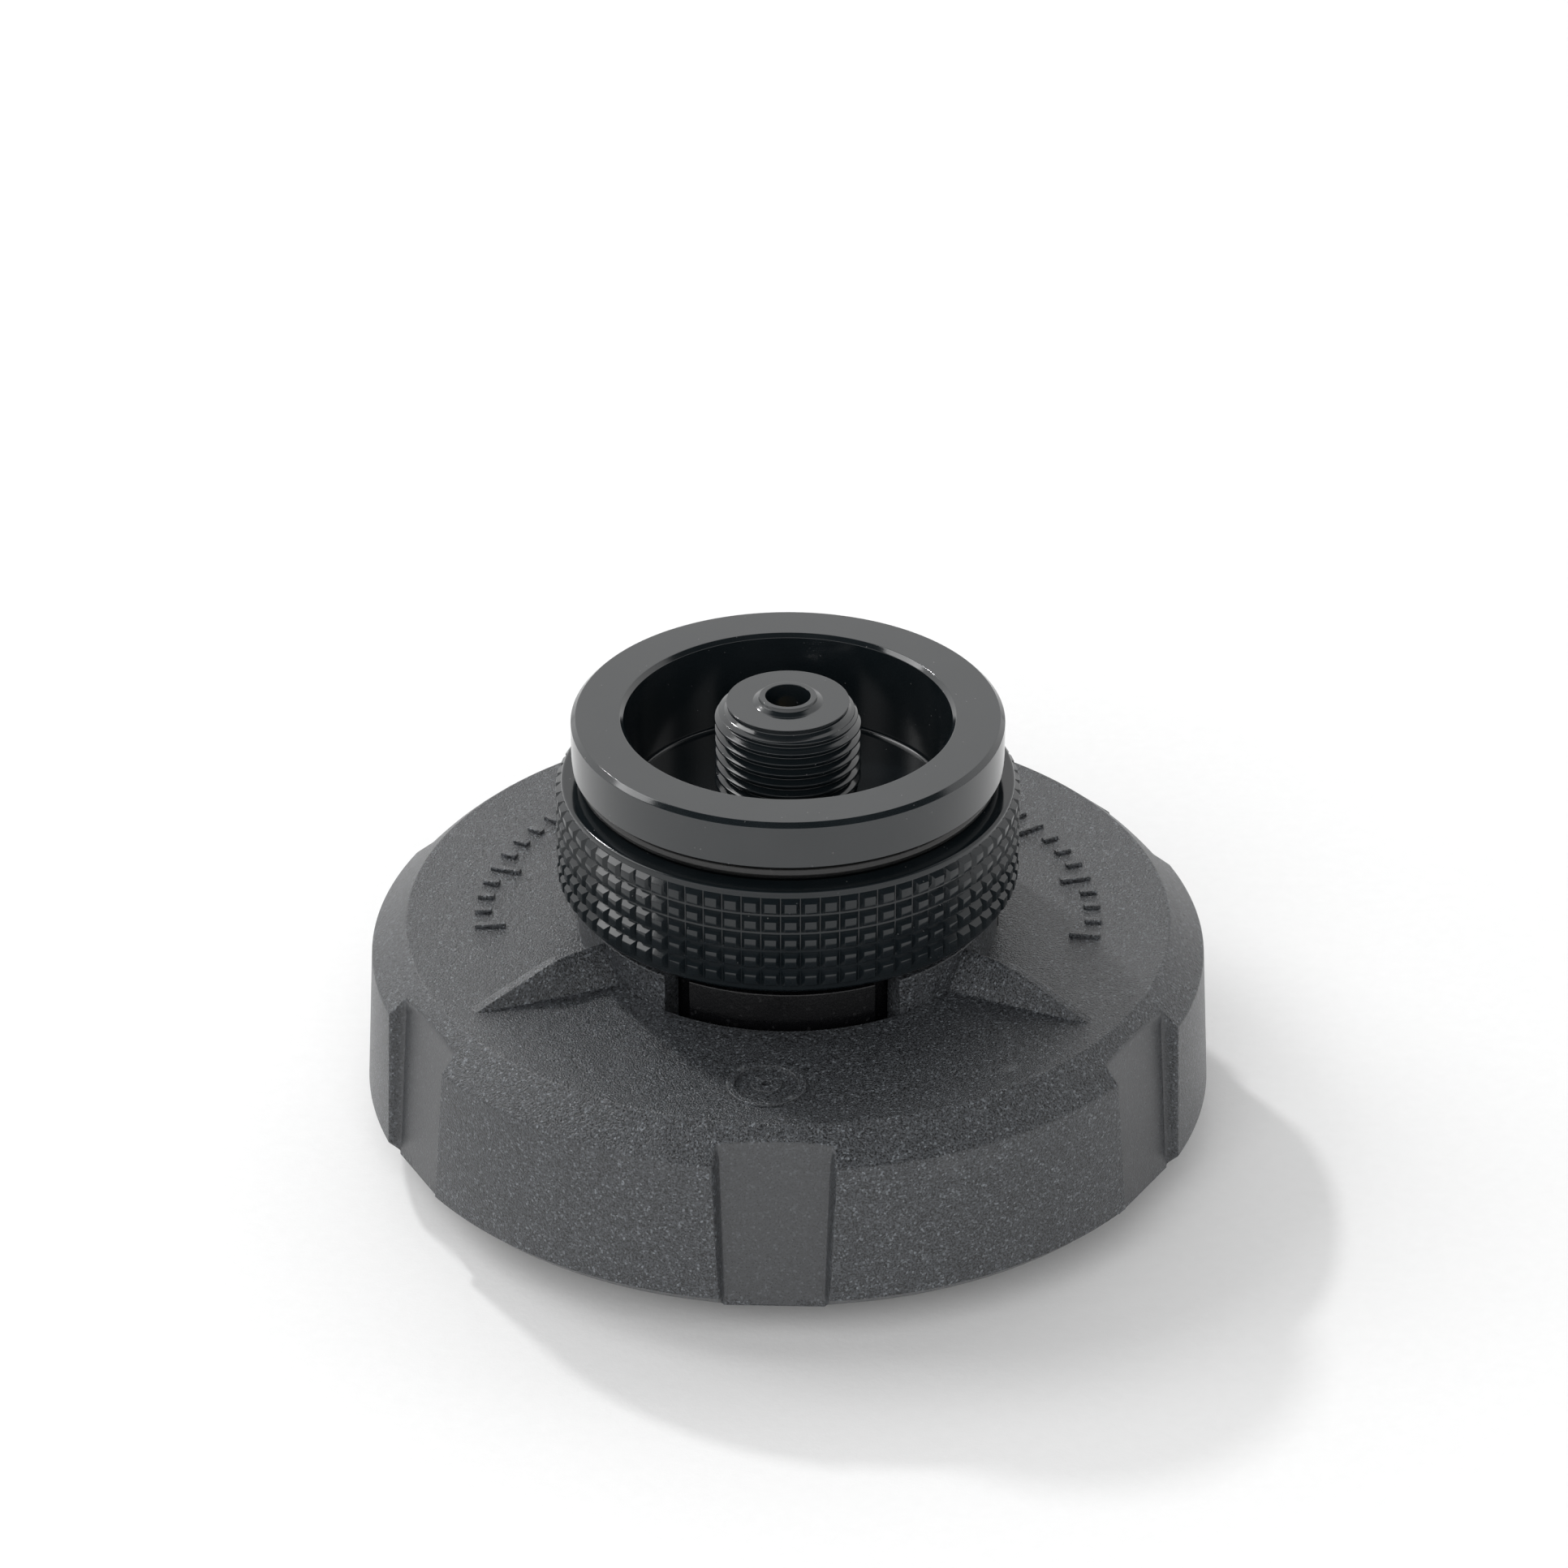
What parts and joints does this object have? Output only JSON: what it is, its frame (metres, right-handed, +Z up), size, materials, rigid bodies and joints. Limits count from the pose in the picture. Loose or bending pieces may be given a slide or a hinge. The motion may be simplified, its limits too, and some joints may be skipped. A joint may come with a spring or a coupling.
{
  "type": "gas canister adapter",
  "caption": "Low gas adapter: a threaded stub in a round cup above a knurled ring, on a wide plastic hand wheel with grip recesses, with a threaded socket beneath.",
  "frame": {"origin": "on the axis, at the lower face of the threaded socket, which the adapter stands on", "axes": "+Z up along the axis, from the socket to the stub; -Y to the front, where a window and a grip recess are in line"},
  "size_m": [0.0656, 0.065, 0.0377],
  "materials": {
    "wheel_plastic": "sparked grain, matte",
    "black_anodised": "black anodised, semi-gloss",
    "socket_black": "black anodised, blasted",
    "steel": "plain",
    "brass": "machined",
    "filter_bronze": "sintered",
    "rubber": "smooth",
    "black_acetal": "smooth"
  },
  "bodies": {
    "head": {"valve_cup": "black_anodised", "knurled_ring": "black_anodised", "neck_seal": "rubber", "threaded_stub": "black_anodised", "stub_seal": "rubber", "valve_spring": "steel", "spring_plug": "brass", "swivel_stem": "brass", "stem_o_ring": "rubber", "cylinder_gasket": "rubber", "lower_thrust_washer": "black_acetal", "upper_thrust_washer": "black_acetal", "opening_pin": "brass", "gas_filter": "filter_bronze"},
    "wheel": {"hand_wheel": "wheel_plastic", "threaded_socket": "socket_black", "socket_screw_1": "steel", "socket_screw_2": "steel", "socket_screw_3": "steel"},
    "pin": {"valve_pin": "brass"}
  },
  "joints": [
    {"name": "wheel_turn", "type": "hinge", "parent": "head", "child": "wheel", "pos_m": [0, 0, 0.0115], "axis": [0, 0, 1], "continuous": true},
    {"name": "pin_press", "type": "slide", "parent": "head", "child": "pin", "axis": [0, 0, -1], "range_m": [0, 0.0016], "stiffness_N_per_m": 2500, "springref_m": -0.0012, "deforming": ["valve_spring"]}
  ]
}
